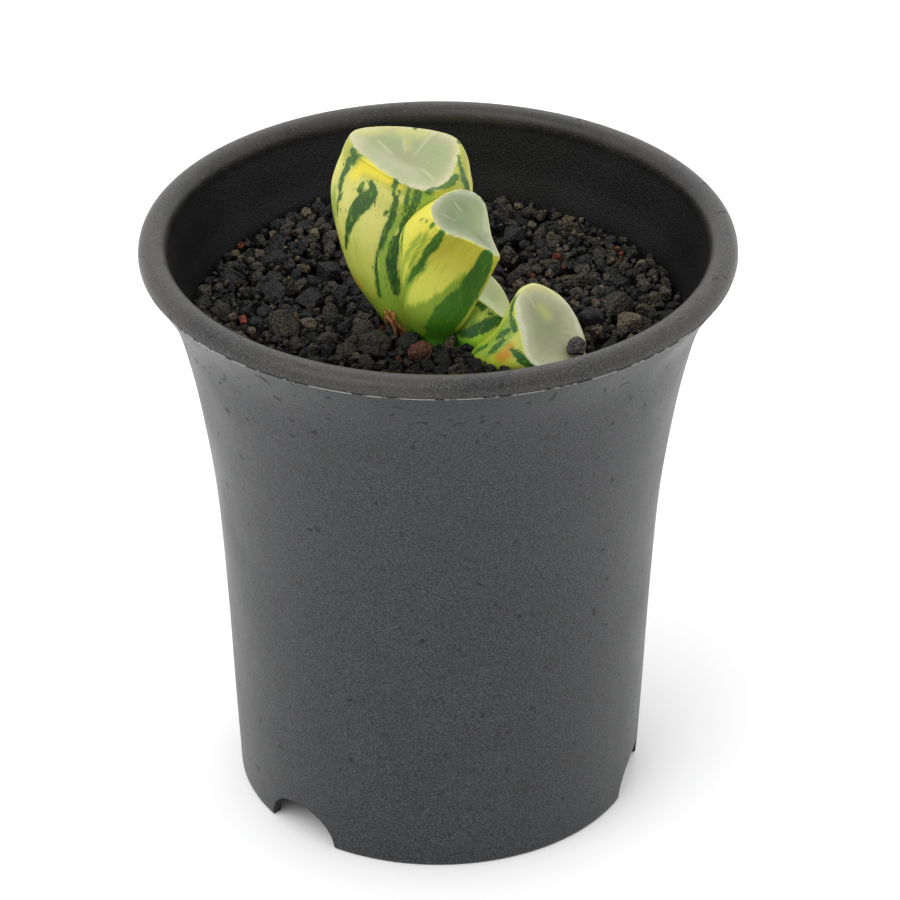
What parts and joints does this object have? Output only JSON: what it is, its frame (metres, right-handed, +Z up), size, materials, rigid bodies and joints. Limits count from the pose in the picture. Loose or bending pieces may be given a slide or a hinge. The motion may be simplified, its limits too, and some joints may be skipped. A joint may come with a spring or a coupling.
{
  "type": "potted haworthia",
  "caption": "Small variegated window-leaf succulent planted in dark lava grit, in a deep flared plastic pot with a rolled lip, an arched foot ring and a pierced raised floor.",
  "frame": {"origin": "centre of the pot's foot ring, on the surface that it stands on", "axes": "+Z up along the pot's axis; -Y towards the side that the plant faces; +X to the right seen from there"},
  "size_m": [0.075, 0.075, 0.0889],
  "materials": {
    "pot_plastic": "charcoal-black moulded polypropylene, finely textured, with the lip darker than the flare",
    "lava_grit": "porous black and brown-grey volcanic grit, matte and slightly damp",
    "grey_pebble": "porous grey-brown lava, matte",
    "red_lava": "porous red-brown scoria, matte",
    "leaf_skin": null,
    "dry_sheath": "dry papery leaf base, tan and fibrous",
    "stem_skin": null
  },
  "bodies": {
    "root": {"pot": "pot_plastic", "grit": "lava_grit", "pebble_grey": "grey_pebble", "pebble_side": "grey_pebble", "pebble_red": "red_lava", "leaf_tall": "leaf_skin", "leaf_front": "leaf_skin", "leaf_small": "leaf_skin", "leaf_low": "leaf_skin", "dry_sheath": "dry_sheath", "stem_and_roots": "stem_skin"}
  },
  "joints": []
}
